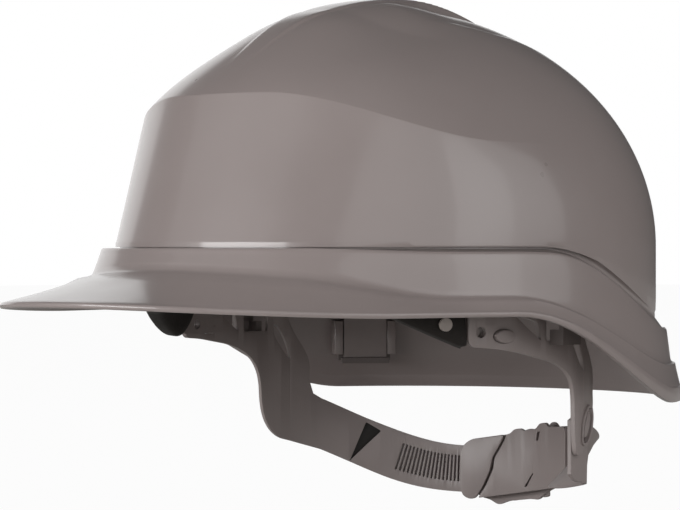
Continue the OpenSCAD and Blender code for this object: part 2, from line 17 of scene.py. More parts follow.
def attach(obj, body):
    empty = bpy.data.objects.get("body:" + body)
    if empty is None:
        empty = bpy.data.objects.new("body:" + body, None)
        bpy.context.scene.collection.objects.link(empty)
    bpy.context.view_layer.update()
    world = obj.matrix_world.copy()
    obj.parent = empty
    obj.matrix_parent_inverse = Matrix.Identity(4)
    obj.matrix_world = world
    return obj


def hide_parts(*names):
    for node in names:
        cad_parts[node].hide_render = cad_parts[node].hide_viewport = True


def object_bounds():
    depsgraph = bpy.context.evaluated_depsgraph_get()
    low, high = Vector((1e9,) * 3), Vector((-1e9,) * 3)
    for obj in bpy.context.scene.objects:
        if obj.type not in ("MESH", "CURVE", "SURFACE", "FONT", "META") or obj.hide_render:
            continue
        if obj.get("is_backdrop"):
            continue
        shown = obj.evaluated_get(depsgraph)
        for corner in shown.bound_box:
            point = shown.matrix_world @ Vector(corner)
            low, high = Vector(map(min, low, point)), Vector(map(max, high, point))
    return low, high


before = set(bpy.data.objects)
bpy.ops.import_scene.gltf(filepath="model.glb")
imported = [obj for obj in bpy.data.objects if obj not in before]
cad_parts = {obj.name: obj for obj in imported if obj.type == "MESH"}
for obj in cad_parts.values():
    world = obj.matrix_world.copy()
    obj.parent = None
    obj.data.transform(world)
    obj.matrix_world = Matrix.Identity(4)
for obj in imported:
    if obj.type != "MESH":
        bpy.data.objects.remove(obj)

logging.basicConfig(level=logging.INFO, format="%(message)s")
log = logging.getLogger("helmet")

MM = 0.001
Pair = tuple[float, float]
Triple = tuple[float, float, float]
Verts = list[bmesh.types.BMVert]


class Side(Enum):
    """Side of the wearer that a piece is on."""

    LEFT = 1
    RIGHT = -1


class Body(Enum):
    """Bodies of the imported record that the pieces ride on."""

    SHELL = "shell_body"
    HEADBAND = "headband_body"
    BUCKLE = "buckle_body"


class ClipPlace(Enum):
    """Plan angle in degrees, foot height and height of the six clip sockets, two by two."""

    FRONT = (-52.0, 6.0, 14.0)
    SIDE = (3.0, 1.0, 10.0)
    REAR = (38.5, -20.2, 14.0)


# Helpers for numbers and colours


def ease(value: float) -> float:
    """Smooth step of a value held between 0 and 1."""
    held = max(0.0, min(1.0, value))
    return held * held * (3 - 2 * held)


def fade(value: float, start: float, end: float) -> float:
    """Smooth step of a value as it goes from start to end."""
    return ease((value - start) / (end - start))


def polar(r: float, turn: float, z: float) -> Vector:
    """Point at a radius, a plan angle in degrees and a height."""
    return Vector((r * math.cos(math.radians(turn)), r * math.sin(math.radians(turn)), z))


def along(table: Sequence[Pair], at: float) -> float:
    """Reads a table of places and values, straight between its rows.

    Args:
        table: Rows of a place and its value, by rising place.
        at: Place to read.

    Returns:
        The value there.
    """
    value = table[0][1]
    for (start, low), (end, high) in zip(table, table[1:]):
        if at >= start:
            value = low + (high - low) * min(1.0, (at - start) / (end - start))
    return value


def linear(hex_colour: str) -> tuple[float, float, float, float]:
    """Turns an sRGB hex colour to linear.

    Args:
        hex_colour: Six hex digits.

    Returns:
        Linear red, green and blue, with an alpha of 1.
    """
    channels = [int(hex_colour[i:i + 2], 16) / 255 for i in (0, 2, 4)]
    turned = [c / 12.92 if c <= 0.04045 else ((c + 0.055) / 1.055) ** 2.4 for c in channels]
    return (turned[0], turned[1], turned[2], 1.0)


# Helpers for materials


def node(tree: bpy.types.NodeTree, kind: str, settings: Optional[dict[str, object]] = None,
         links: Optional[dict[str, bpy.types.NodeSocket]] = None) -> bpy.types.Node:
    """Adds a shader node with its settings and links.

    Args:
        tree: Node tree that gets the node.
        kind: Type name without its ShaderNode prefix.
        settings: Values by the name of an input socket, or else of a property.
        links: Output sockets by the name of the input that each one feeds.

    Returns:
        The new node.
    """
    made = tree.nodes.new("ShaderNode" + kind)
    for name, value in (settings or {}).items():
        if name in made.inputs:
            made.inputs[name].default_value = value
        else:
            setattr(made, name, value)
    for name, socket in (links or {}).items():
        tree.links.new(socket, made.inputs[name])
    return made


def mix(tree: bpy.types.NodeTree, share: bpy.types.NodeSocket, first: bpy.types.NodeSocket,
        second: bpy.types.NodeSocket) -> bpy.types.NodeSocket:
    """Mixes two shaders.

    Args:
        tree: Node tree that gets the node.
        share: Share of the second shader, from 0 to 1.
        first: Shader where the share is 0.
        second: Shader where the share is 1.

    Returns:
        The mixed shader's socket.
    """
    made = node(tree, "MixShader", {}, {"Fac": share})
    tree.links.new(first, made.inputs[1])
    tree.links.new(second, made.inputs[2])
    return made.outputs["Shader"]


def facing(tree: bpy.types.NodeTree, way: bpy.types.NodeSocket, toward: Triple) -> bpy.types.NodeSocket:
    """Compares a direction with a fixed one.

    Args:
        tree: Node tree that gets the node.
        way: Socket of the direction.
        toward: Fixed direction.

    Returns:
        The socket of their dot product.
    """
    made = node(tree, "VectorMath", {"operation": "DOT_PRODUCT"})
    tree.links.new(way, made.inputs[0])
    made.inputs[1].default_value = toward
    return made.outputs["Value"]


@dataclass(frozen=True)
class Finish:
    """Moulded or coated surface.

    Attributes:
        name: Common name of the material and how it was made.
        base: Colour as sRGB hex.
        cloud: Second colour, for slow drifts in the pigment, as sRGB hex.
        roughness: Mean roughness.
        rough_spread: How far the roughness drifts to each side.
        grain_mm: Size of the surface grain.
        grain_depth: Depth of that grain in millimetres.
        wave_mm: Size of the slow sink waves of a moulded wall.
        wave_depth: Depth of those waves in millimetres.
        ior: Index of refraction.
        coat: Share of the clear gloss that a polished mould leaves.
        coat_roughness: Roughness of that gloss.
        sheen: Weight of the soft edge light of foam and cloth.
    """

    name: str
    base: str
    cloud: str
    roughness: float
    rough_spread: float
    grain_mm: float
    grain_depth: float
    wave_mm: float
    wave_depth: float
    ior: float = 1.5
    coat: float = 0.0
    coat_roughness: float = 0.3
    sheen: float = 0.0

    def material(self) -> bpy.types.Material:
        """Makes the node material of this finish, or finds it.

        Returns:
            The material.
        """
        found = bpy.data.materials.get(self.name)
        if found:
            return found
        made = bpy.data.materials.new(self.name)
        made.use_nodes = True
        tree = made.node_tree
        tree.nodes.clear()
        place = node(tree, "TexCoord").outputs["Object"]
        drift = node(tree, "TexNoise", {"Scale": 1 / (38 * MM), "Detail": 3.0, "Roughness": 0.55},
                     {"Vector": place})
        grain = node(tree, "TexNoise", {"Scale": 1 / (self.grain_mm * MM), "Detail": 2.0},
                     {"Vector": place})
        wave = node(tree, "TexNoise", {"Scale": 1 / (self.wave_mm * MM), "Detail": 1.0},
                    {"Vector": place})
        tint = node(tree, "ValToRGB", {}, {"Fac": drift.outputs["Fac"]})
        tint.color_ramp.elements[0].position = 0.3
        tint.color_ramp.elements[0].color = linear(self.cloud)
        tint.color_ramp.elements[1].position = 0.7
        tint.color_ramp.elements[1].color = linear(self.base)
        rough = node(tree, "MapRange", {
            "From Min": 0.25, "From Max": 0.75,
            "To Min": self.roughness - self.rough_spread, "To Max": self.roughness + self.rough_spread,
        }, {"Value": drift.outputs["Fac"]})
        waves = node(tree, "Bump", {"Strength": 1.0, "Distance": self.wave_depth * MM},
                     {"Height": wave.outputs["Fac"]})
        bump = node(tree, "Bump", {"Strength": 1.0, "Distance": self.grain_depth * MM},
                    {"Height": grain.outputs["Fac"], "Normal": waves.outputs["Normal"]})
        shader = node(tree, "BsdfPrincipled", {
            "Coat Weight": self.coat, "Coat Roughness": self.coat_roughness, "IOR": self.ior,
            "Sheen Weight": self.sheen, "Sheen Roughness": 0.4,
        }, {
            "Base Color": tint.outputs["Color"], "Roughness": rough.outputs["Result"],
            "Normal": bump.outputs["Normal"], "Coat Normal": waves.outputs["Normal"],
        })
        node(tree, "OutputMaterial", {}, {"Surface": shader.outputs["BSDF"]})
        return made


# High-density polyethylene from a polished mould: a milky grey gloss with faint sink waves
SHELL_FINISH = Finish("HDPE_moulded_gloss_grey", "8C8280", "897F7D", 0.3, 0.03, 0.9, 0.004, 45, 0.12,
                      coat=0.5, coat_roughness=0.1)
# Low-density polyethylene from a spark-eroded mould: a satin grey that hides scratches
HARNESS_FINISH = Finish("LDPE_moulded_satin_grey", "8B8280", "877D7B", 0.42, 0.05, 0.6, 0.02, 14, 0.05)
# The same for the clips, a shade darker
CLIP_FINISH = Finish("LDPE_moulded_satin_dark_grey", "6B6361", "665E5C", 0.45, 0.05, 0.6, 0.02, 14, 0.04)
# Coated open foam: black, matt, with a soft edge light
FOAM_FINISH = Finish("polyurethane_coated_foam_black", "1B1714", "211C19", 0.72, 0.06, 1.1, 0.12, 9, 0.2,
                     ior=1.4, sheen=0.04)
# Painted shade: a black sheet on the floor of the strap's triangular pocket, standing in for the pocket's
# shade
POCKET_SHADE_FINISH = Finish("painted_pocket_shade_black", "1E1A18", "1A1715", 0.5, 0.05, 0.6, 0.02, 14, 0.04)
# Acetal stud, almost white
STUD_FINISH = Finish("acetal_moulded_pale", "A79E9A", "A0968F", 0.3, 0.03, 0.6, 0.01, 9, 0.02, ior=1.48)


# Helpers for meshes


def tube(bm: bmesh.types.BMesh, rings: Sequence[Sequence[Vector]]) -> tuple[Verts, Verts]:
    """Extrudes a closed ring through the places of the next ones, into an open tube.

    Args:
        bm: Mesh that gets the tube.
        rings: Points of each ring in order, the same number in each.

    Returns:
        The corners of the first ring and those of the last.
    """
    made = bmesh.ops.create_circle(bm, cap_ends=False, radius=1.0, segments=len(rings[0]))
    first = list(made["verts"])
    for vert, point in zip(first, rings[0]):
        vert.co = point
    edges = list({edge for vert in first for edge in vert.link_edges})
    last = first
    for points in rings[1:]:
        marks = {vert: i for i, vert in enumerate(last)}
        made = bmesh.ops.extrude_edge_only(bm, edges=edges)
        fresh = {item for item in made["geom"] if isinstance(item, bmesh.types.BMVert)}
        placed = {}
        for vert in fresh:
            for edge in vert.link_edges:
                other = edge.other_vert(vert)
                if other in marks:
                    placed[marks[other]] = vert
        last = [placed[i] for i in range(len(points))]
        for vert, point in zip(last, points):
            vert.co = point
        edges = [item for item in made["geom"] if isinstance(item, bmesh.types.BMEdge)
                 and item.verts[0] in fresh and item.verts[1] in fresh]
    return first, last


def slab(outline: Sequence[Pair], thick: float, holes: Sequence[Sequence[Pair]] = (),
         round_off: float = 0.35, base: float = 0.0, cut: float = 0.0) -> bmesh.types.BMesh:
    """Makes a plate in the YZ plane from an outline, with softened edges.

    Args:
        outline: Corners as (y, z).
        thick: Thickness along +X.
        holes: Outlines of the holes through it.
        round_off: Width of the softened edges.
        base: Place of the lower face along X.
        cut: Spacing of the cuts along Y that let the plate bend, or 0.

    Returns:
        The new mesh.
    """
    bm = bmesh.new()
    edges = []
    for loop in [outline, *holes]:
        verts = [bm.verts.new((0, y, z)) for y, z in loop]
        for i, vert in enumerate(verts):
            edges.append(bm.edges.new((vert, verts[(i + 1) % len(verts)])))
    made = bmesh.ops.triangle_fill(bm, use_beauty=True, use_dissolve=True, edges=edges, normal=(1, 0, 0))
    faces = [item for item in made["geom"] if isinstance(item, bmesh.types.BMFace)]
    for face in faces:
        if face.normal.x > 0:
            face.normal_flip()
    grown = bmesh.ops.extrude_face_region(bm, geom=faces)
    raised = [item for item in grown["geom"] if isinstance(item, bmesh.types.BMVert)]
    bmesh.ops.translate(bm, verts=raised, vec=(thick, 0, 0))
    bmesh.ops.translate(bm, verts=bm.verts[:], vec=(base, 0, 0))
    bmesh.ops.recalc_face_normals(bm, faces=bm.faces[:])
    rims = [edge for edge in bm.edges
            if edge.is_manifold and edge.calc_face_angle(0.0) > math.radians(60)
            and abs(edge.verts[0].co.x - edge.verts[1].co.x) < thick / 2]
    bmesh.ops.bevel(bm, geom=rims, offset=round_off, offset_type="OFFSET", segments=2,
                    profile=0.5, affect="EDGES", material=-1, clamp_overlap=True)
    if cut > 0:
        ys = [vert.co.y for vert in bm.verts]
        at = min(ys) + cut
        while at < max(ys):
            bmesh.ops.bisect_plane(bm, geom=bm.verts[:] + bm.edges[:] + bm.faces[:],
                                   plane_co=(0, at, 0), plane_no=(0, 1, 0))
            at += cut
    return bm


def disc(cy: float, cz: float, r: float, steps: int = 28) -> list[Pair]:
    """Points of a circle."""
    turns = [math.radians(360 * i / steps) for i in range(steps)]
    return [(cy + r * math.cos(t), cz + r * math.sin(t)) for t in turns]


def line(start: Pair, end: Pair, shares: Sequence[float]) -> list[Pair]:
    """Points on a straight line, at shares of its length."""
    return [(start[0] + (end[0] - start[0]) * t, start[1] + (end[1] - start[1]) * t) for t in shares]


def oval(cy: float, cz: float, half_l: float, half_h: float) -> list[Pair]:
    """Points of an oval that is longer along Y."""
    return [(cy + (y - cy) * half_l / half_h, z) for y, z in disc(cy, cz, half_h)]


def rounded(points: Sequence[Pair], r: float, steps: int = 4, closed: bool = True) -> list[Pair]:
    """Rounds each corner of an outline.

    Args:
        points: Corners in order.
        r: How far from the corner the rounding starts.
        steps: Points on each rounded corner.
        closed: Whether the last corner joins the first.

    Returns:
        The rounded outline.
    """
    out: list[Pair] = []
    for i, corner in enumerate(points):
        if not closed and i in (0, len(points) - 1):
            out.append(corner)
            continue
        here = Vector(corner)
        before = Vector(points[i - 1]) - here
        after = Vector(points[(i + 1) % len(points)]) - here
        reach = min(r, before.length * 0.45, after.length * 0.45)
        first = here + before.normalized() * reach
        last = here + after.normalized() * reach
        for k in range(steps + 1):
            t = k / steps
            spot = first.lerp(here, t).lerp(here.lerp(last, t), t)
            out.append((spot.x, spot.y))
    return out


def brick(low: Triple, high: Triple, round_off: float) -> bmesh.types.BMesh:
    """Makes a box between two corners, with softened edges.

    Args:
        low: Lowest corner.
        high: Highest corner.
        round_off: Width of the softened edges.

    Returns:
        The new mesh.
    """
    bm = bmesh.new()
    bmesh.ops.create_cube(bm, size=1.0)
    bmesh.ops.scale(bm, vec=[b - a for a, b in zip(low, high)], verts=bm.verts[:])
    bmesh.ops.translate(bm, vec=[(a + b) / 2 for a, b in zip(low, high)], verts=bm.verts[:])
    bmesh.ops.bevel(bm, geom=bm.edges[:], offset=round_off, offset_type="OFFSET", segments=2,
                    profile=0.5, affect="EDGES", material=-1, clamp_overlap=True)
    return bm


def join(parts: Sequence[bmesh.types.BMesh]) -> bmesh.types.BMesh:
    """Puts several meshes into one.

    Args:
        parts: Meshes, which are freed.

    Returns:
        The joined mesh.
    """
    whole = bmesh.new()
    for part in parts:
        held = bpy.data.meshes.new("held")
        part.to_mesh(held)
        part.free()
        whole.from_mesh(held)
        bpy.data.meshes.remove(held)
    return whole


def finish_piece(bm: bmesh.types.BMesh, name: str, finish: Finish, body: Body,
                 nodes: Sequence[str] = (), flat_angle: float = 40,
                 fix_normals: bool = True) -> bpy.types.Object:
    """Turns a mesh in millimetres into a finished piece.

    Args:
        bm: Mesh in millimetres, which is freed.
        name: Name of the piece.
        finish: Its finish.
        body: Body that it rides on.
        nodes: CAD nodes that it stands for.
        flat_angle: Edges sharper than this many degrees stay sharp.
        fix_normals: Whether the faces are turned outwards.

    Returns:
        The new object.
    """
    bmesh.ops.remove_doubles(bm, verts=bm.verts[:], dist=0.0005)
    bmesh.ops.scale(bm, vec=(MM, MM, MM), verts=bm.verts[:])
    if fix_normals:
        bmesh.ops.recalc_face_normals(bm, faces=bm.faces[:])
    for face in bm.faces:
        face.smooth = True
    for edge in bm.edges:
        edge.smooth = edge.calc_face_angle(0.0) < math.radians(flat_angle)
    mesh = bpy.data.meshes.new(name)
    bm.to_mesh(mesh)
    bm.free()
    piece = bpy.data.objects.new(name, mesh)
    bpy.context.scene.collection.objects.link(piece)
    mesh.materials.append(finish.material())
    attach(piece, body.value)
    if nodes:
        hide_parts(*nodes)
    log.info("%s: %d faces", name, len(mesh.polygons))
    return piece


def dress_node(name: str, finish: Finish) -> None:
    """Gives a CAD node its finish.

    Args:
        name: Name of the node.
        finish: Its finish.
    """
    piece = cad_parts[name]
    piece.data.materials.clear()
    piece.data.materials.append(finish.material())
    log.info("%s: dressed", name)


def superellipse(turn: float, half_w: float, front: float, rear: float, power: float) -> float:
    """Radius of a superellipse with its own front and rear reach.

    Args:
        turn: Plan angle in degrees, -90 at the front.
        half_w: Half width.
        front: Reach to the front.
        rear: Reach to the rear.
        power: Squareness, 2 for an ellipse.

    Returns:
        The radius at that angle.
    """
    c = abs(math.cos(math.radians(turn)))
    s = math.sin(math.radians(turn))
    reach = front if s < 0 else rear
    return ((c / half_w) ** power + (abs(s) / reach) ** power) ** (-1 / power)


@dataclass
class MouldedShell:
    """Shell with its crest, brow, rain gutter, peak and turned-out rim. Millimetres."""

    half_w: float = 95.5
    front: float = 107.5
    rear: float = 105.0
    squareness: float = 2.15
    gutter_z: float = 25.0
    gutter_deep: float = 0.6
    gutter_fall: float = 26.0
    height: float = 90.0
    wall: float = 2.4
    step: float = 4.2
    peak_reach: float = 164.0
    peak_half_w: float = 99.5
    peak_squareness: float = 2.35
    peak_lift: float = 3.4
    rear_drop: float = 34.0
    brim: float = 4.5
    crest: float = 4.4
    brow_tilt_front: float = 35.5
    brow_tilt_side: float = 24.0
    brow_rise: float = 5.0
    roof_span: float = 34.0
    columns: int = 360
    crowd: float = 0.55
    rows_high: int = 66
    rows_low: int = 34
    socket_w: float = 26.0
    socket_deep: float = 7.0
    socket_wall: float = 1.6
    strap_slit: float = 18.8

    def rearward(self, turn: float) -> float:
        """How far a plan angle lies to the rear, -90 at the front and 90 at the back."""
        return math.degrees(math.asin(max(-1.0, min(1.0, math.sin(math.radians(turn))))))

    def at_rear(self, turn: float) -> float:
        """Share of the rear's form at a plan angle."""
        return fade(self.rearward(turn), -20, 34)

    def in_front(self, turn: float) -> float:
        """Share of the peak's form at a plan angle."""
        return 1 - fade(self.rearward(turn), -62, -34)

    def dome_r(self, turn: float) -> float:
        """Radius of the dome at the gutter."""
        return superellipse(turn, self.half_w, self.front, self.rear, self.squareness)

    def gutter_low(self, turn: float) -> float:
        """Height of the gutter's floor."""
        fall = self.gutter_fall * fade(self.rearward(turn), -10, 42)
        return self.gutter_z - self.gutter_deep - fall

    def rim_z(self, turn: float) -> float:
        """Height of the rim's underside."""
        lift = self.peak_lift * (1 - fade(self.rearward(turn), -88, -44))
        return lift - self.rear_drop * self.at_rear(turn)

    def root_z(self, turn: float) -> float:
        """Height at which the band turns out into the peak or the rim."""
        return self.rim_z(turn) + 6.6 + 5.4 * self.in_front(turn) + 8 * self.at_rear(turn)

    def band_top_r(self, turn: float) -> float:
        """Radius of the band below the gutter, at its top."""
        return self.dome_r(turn) + self.step + 1.5 * self.in_front(turn)

    def band_low_r(self, turn: float) -> float:
        """Radius of that band at its foot."""
        return self.band_top_r(turn) + 1.4 + 1.2 * self.in_front(turn)

    def brim_r(self, turn: float) -> float:
        """Radius of the rim or the peak's edge, whichever reaches further out.

        Args:
            turn: Plan angle in degrees.

        Returns:
            The radius, eased where one takes over from the other.
        """
        side = self.band_low_r(turn) + self.brim
        peak = 0.0
        if math.sin(math.radians(turn)) < 0:
            reach = self.peak_reach
            peak = superellipse(turn, self.peak_half_w, reach, reach, self.peak_squareness)
        gap = peak - side
        return side + (gap + math.sqrt(gap * gap + 9)) / 2

    def lip_h(self, turn: float) -> float:
        """Height of the rim's outer face."""
        return 2.2 + 3.6 * self.at_rear(turn)

    def brow_tilt(self, turn: float) -> float:
        """How far up the dome the brow's edge runs, as a tilt in degrees."""
        fall = self.brow_tilt_front - self.brow_tilt_side
        return self.brow_tilt_front - fall * fade(self.rearward(turn), -75, -20)

    def panel_share(self, turn: float) -> float:
        """Share of the straight front panel at a plan angle."""
        return 1 - fade(self.rearward(turn), -58, 8)

    def wall_point(self, tilt: float, turn: float, inset: float) -> Pair:
        """Radius and height of the plain dome, straight below the brow's edge and round above it.

        Args:
            tilt: Angle up the dome, 0 at the gutter and 90 at the top.
            turn: Plan angle in degrees.
            inset: Distance inside the outer face.

        Returns:
            The radius and the height.
        """
        share = self.panel_share(turn)
        edge = self.brow_tilt(turn)
        above = tilt - edge
        rise = share * self.brow_rise * max(0.0, 1 - abs(above) / self.roof_span)
        if above > 0:
            rise -= share * 1.2 * math.sin(min(1.0, above / (90 - edge)) * math.pi) ** 2
        ct, st = math.cos(math.radians(tilt)), math.sin(math.radians(tilt))
        r = (self.dome_r(turn) - inset + rise) * ct
        z = self.gutter_z + (self.height - inset + rise) * st
        if above >= 0:
            return r, z
        ce, se = math.cos(math.radians(edge)), math.sin(math.radians(edge))
        top_rise = share * self.brow_rise
        part = st / se
        foot = self.dome_r(turn) - inset
        straight_r = foot + ((foot + top_rise) * ce - foot) * part
        straight_z = self.gutter_z + (self.height - inset + top_rise) * st
        return r + (straight_r - r) * share, z + (straight_z - z) * share

    def crest_half_w(self, y: float) -> float:
        """Half width of the central crest."""
        return 3.5 + 7.0 * fade(y, -92, 10) + 3 * fade(y, 10, 70)

    def crown(self, x: float, y: float, z: float) -> float:
        """Relief of the crest, its broad swell and the channels beside it.

        Args:
            x: Place across the dome.
            y: Place along the dome, negative to the front.
            z: Height.

        Returns:
            How far the dome stands out there, negative in a channel.
        """
        half = self.crest_half_w(y)
        edge = min(40.0, 14 + 0.32 * max(0.0, y + 67))
        sharp = 0.12 + 0.5 * fade(y, -18, 14)
        crest = 1 - fade(abs(x), half, half + 2.6)
        swell = 1 - fade(abs(x), half - 2, half + 38)
        channel = 1 - fade(abs(x), edge, edge + 4)
        ahead = 1 - fade(y, 0, 72)
        arch = (1 + 0.3 * math.exp(-((y + 50) / 30) ** 2)) * fade(y, -90, -40)
        depth = fade(y, -20, 10)
        high = fade(z, self.gutter_z + 40, self.gutter_z + 52)
        rise = self.crest * arch * (sharp * crest + (1 - sharp) * swell)
        return high * ahead * (rise - depth * channel * (1 - crest))

    def dome_point(self, turn: float, tilt: float, inset: float) -> Vector:
        """Point of the dome.

        Args:
            turn: Plan angle in degrees.
            tilt: Angle up the dome, 0 at the gutter and 90 at the top.
            inset: Distance inside the outer face.

        Returns:
            The point in millimetres.
        """
        r, z = self.wall_point(tilt, turn, inset)
        lift = self.crown(*polar(r, turn, z))
        return polar(r + lift * math.cos(math.radians(tilt)), turn, z + lift * math.sin(math.radians(tilt)))

    def section(self, turn: float) -> list[Pair]:
        """Radius and height down the band, round the rim and back up inside.

        Args:
            turn: Plan angle in degrees.

        Returns:
            Points from just under the dome to the foot of the inner dome.
        """
        low = self.gutter_low(turn)
        drop = 1.4 - 1.2 * self.in_front(turn) + 3.4 * self.at_rear(turn)
        dome, top, foot = self.dome_r(turn), self.band_top_r(turn), self.band_low_r(turn)
        edge, rim, lip = self.brim_r(turn), self.rim_z(turn), self.lip_h(turn)
        root = self.root_z(turn)
        reach = edge - foot
        bend = min(7.0, reach * 0.4)
        round_h = 1.1 + 2.3 * self.in_front(turn)
        cut = 1 - 0.75 * fade(self.rearward(turn), 5, 42)
        points = line((dome, self.gutter_z), (dome, low), (0.25, 0.5, 0.75)) + [
            (dome - 0.15, low + 1.9), (dome - 1.5 * cut, low + 1.6), (dome - 1.9 * cut, low + 0.9),
            (dome - 1.7 * cut, low - 0.5), (dome - 0.4, low - 0.9), (top - 1.6, low - drop - 0.2),
            (top - 0.8, low - drop), (top - 0.25, low - drop - 0.4), (top, low - drop - 1.2),
        ]
        points += line(points[-1], (foot, root + round_h), (0.3, 0.6, 0.85, 1.0))
        points += [(foot + bend * t * t, root + round_h * (1 - t) ** 2 - 0.4 * t * t)
                   for t in (0.35, 0.7, 1.0)]
        start = (foot + bend, root - 0.4)
        points += [(start[0] + (edge - 0.8 - start[0]) * t,
                    start[1] + (rim + lip - start[1]) * t ** 0.85) for t in (0.2, 0.4, 0.6, 0.8, 0.93, 1.0)]
        points += [
            (edge - 0.2, rim + lip - 0.25), (edge, rim + lip * 0.65), (edge, rim + lip * 0.3),
            (edge - 0.35, rim + 0.1), (edge - 1.0, rim), (edge - self.wall + 0.4, rim),
            (edge - self.wall, rim + 0.4), (edge - self.wall - 0.5, rim + lip - 1.4),
        ]
        inner = (max(foot - self.wall, dome) + 0.8, root - self.wall)
        points += line(points[-1], inner, (0.08, 0.35, 0.7, 1.0))
        points += [
            (foot - self.wall, root), (top - self.wall, low - drop - self.wall * 0.7),
            (dome - self.wall, low - self.wall * 0.7),
        ]
        return points

    def turns(self) -> list[float]:
        """Plan angles of the columns, closer where the crest runs down.

        Returns:
            The angles in degrees, from the front round to the front.
        """
        out = []
        for i in range(self.columns):
            plain = 360 * i / self.columns
            out.append(-90 + plain - self.crowd * math.degrees(math.sin(2 * math.radians(plain))) / 2)
        return out

    def row_tilt(self, turn: float, row: int) -> float:
        """Tilt of a row of the dome, closer together along the brow's edge.

        Args:
            turn: Plan angle of the column.
            row: Row number from the top.

        Returns:
            The tilt in degrees.
        """
        edge = self.brow_tilt(turn)
        if row <= self.rows_high:
            return edge + (89.1 - edge) * (1 - row / self.rows_high) ** 1.35
        return edge * (1 - ((row - self.rows_high) / self.rows_low) ** 1.35)

    def wall_in_r(self, turn: float) -> float:
        """Radius of the band's inner face."""
        return self.band_top_r(turn) - self.wall

    def socket(self, place: ClipPlace, side: Side) -> bmesh.types.BMesh:
        """Pocket on the inner wall that takes a clip of the cradle.

        Args:
            place: Which clip it takes.
            side: Side of the wearer.

        Returns:
            The pocket, in its place.
        """
        turn, foot, tall = place.value
        half, slit, deep, wall = self.socket_w / 2, self.strap_slit / 2, self.socket_deep, self.socket_wall
        parts = []
        for low, high in ((-half, -slit), (slit, half)):
            parts.append(brick((-deep, low, 0), (wall - deep, high, tall), 0.35))
        for low, high in ((-half, wall - half), (half - wall, half)):
            parts.append(brick((0.3 - deep, low, 0), (0.9, high, tall), 0.3))
        parts.append(brick((wall - deep, -half, tall - wall), (0.9, half, tall), 0.3))
        pocket = join(parts)
        before, after = (polar(self.wall_in_r(a), a, 0) for a in (turn - 1, turn + 1))
        run = after - before
        swing = math.atan2(run.y, run.x) - math.pi / 2
        spot = polar(self.wall_in_r(turn), turn, foot)
        bmesh.ops.transform(pocket, matrix=Matrix.Translation(spot) @ Matrix.Rotation(swing, 4, "Z"),
                            verts=pocket.verts[:])
        if side is Side.RIGHT:
            bmesh.ops.scale(pocket, vec=(-1, 1, 1), verts=pocket.verts[:])
            bmesh.ops.reverse_faces(pocket, faces=pocket.faces[:])
        return pocket

    def build(self) -> bpy.types.Object:
        """Builds the shell ring by ring, closes both crowns and adds the sockets.

        Returns:
            The shell.
        """
        turns = self.turns()
        rings = [[self.dome_point(a, self.row_tilt(a, k), 0) for a in turns]
                 for k in range(self.rows_high + self.rows_low + 1)]
        for level in zip(*[self.section(a) for a in turns]):
            rings.append([polar(r, a, z) for a, (r, z) in zip(turns, level)])
        rings += [[self.dome_point(a, tilt, self.wall) for a in turns] for tilt in range(0, 90, 3)]
        bm = bmesh.new()
        for ring, inset in zip(tube(bm, rings), (0.0, self.wall)):
            cap = bmesh.ops.contextual_create(bm, geom=ring)["faces"]
            poked = bmesh.ops.poke(bm, faces=cap)
            poked["verts"][0].co = self.dome_point(0, 90, inset)
        bmesh.ops.recalc_face_normals(bm, faces=bm.faces[:])
        parts = [bm] + [self.socket(place, side) for place in ClipPlace for side in Side]
        return finish_piece(join(parts), "shell_moulding", SHELL_FINISH, Body.SHELL, ["shell"],
                            50, False)


